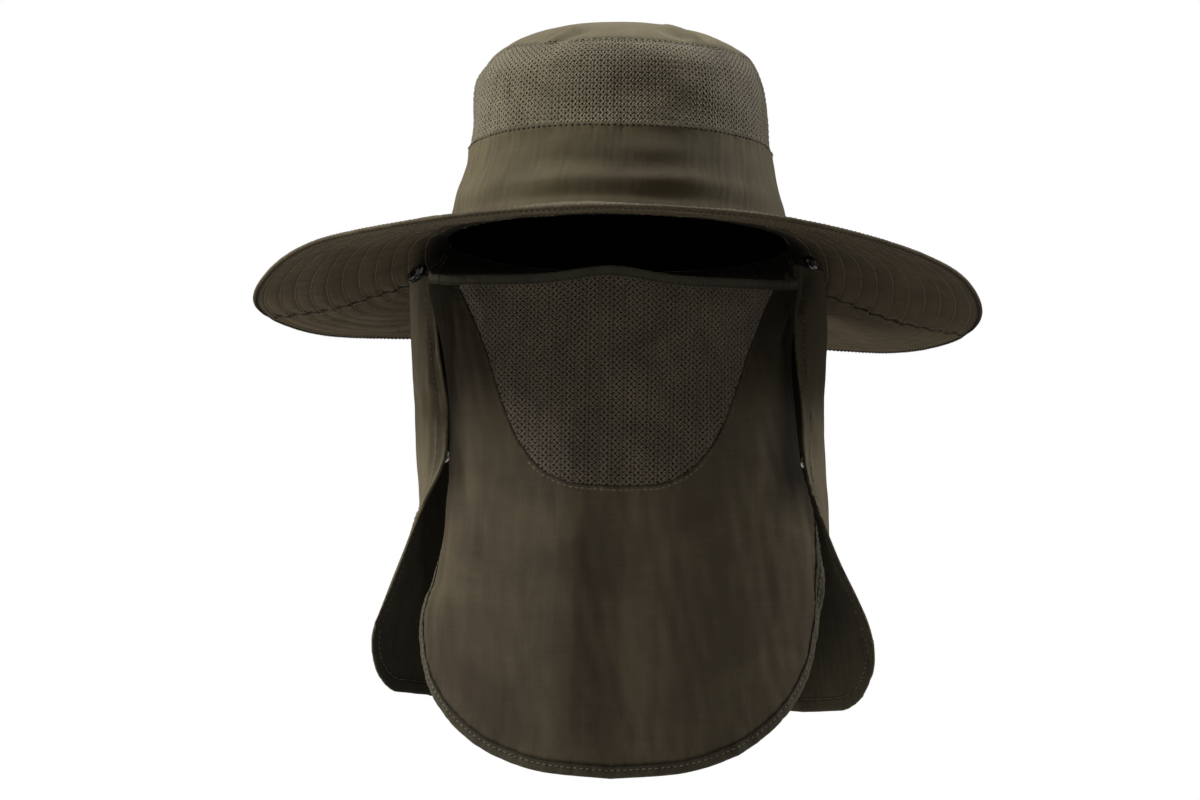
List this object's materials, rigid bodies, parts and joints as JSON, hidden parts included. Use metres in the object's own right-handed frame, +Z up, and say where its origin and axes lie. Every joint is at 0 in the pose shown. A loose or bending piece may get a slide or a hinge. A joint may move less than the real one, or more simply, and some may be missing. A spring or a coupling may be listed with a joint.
{
  "type": "flap sun hat with neck flap and face panel",
  "caption": "Wide-brimmed olive cloth sun hat with a net ring round its crown, a long neck flap and a face panel with a net insert.",
  "frame": {"origin": "the middle of the crown's opening, at the seam between the crown and the brim, where the hat sits on a head", "axes": "+X to the right as the front is seen, +Y to the back, +Z up; the face panel hangs at the front, towards -Y"},
  "size_m": [0.3714, 0.4005, 0.3844],
  "materials": {
    "crown_tip": "matt woven cloth",
    "crown_net": "matt knitted net",
    "crown_band": "matt woven cloth",
    "brim_front": "matt woven cloth",
    "brim_back": "matt woven cloth",
    "neck_flap": "matt woven cloth",
    "face_flap": "matt woven cloth",
    "face_net": "matt knitted net",
    "face_top_hem": "matt folded hem",
    "face_edge_binding": "matt folded binding",
    "snap_brim_left": "black enamel",
    "snap_brim_right": "black enamel",
    "snap_side_left": "black enamel",
    "snap_side_right": "black enamel"
  },
  "bodies": {
    "root": {"crown_tip": "crown_tip", "crown_net": "crown_net", "crown_band": "crown_band", "brim_front": "brim_front", "brim_back": "brim_back", "neck_flap": "neck_flap", "face_flap": "face_flap", "face_net": "face_net", "face_top_hem": "face_top_hem", "face_edge_binding": "face_edge_binding", "snap_brim_left": "snap_brim_left", "snap_brim_right": "snap_brim_right", "snap_side_left": "snap_side_left", "snap_side_right": "snap_side_right"}
  },
  "joints": []
}
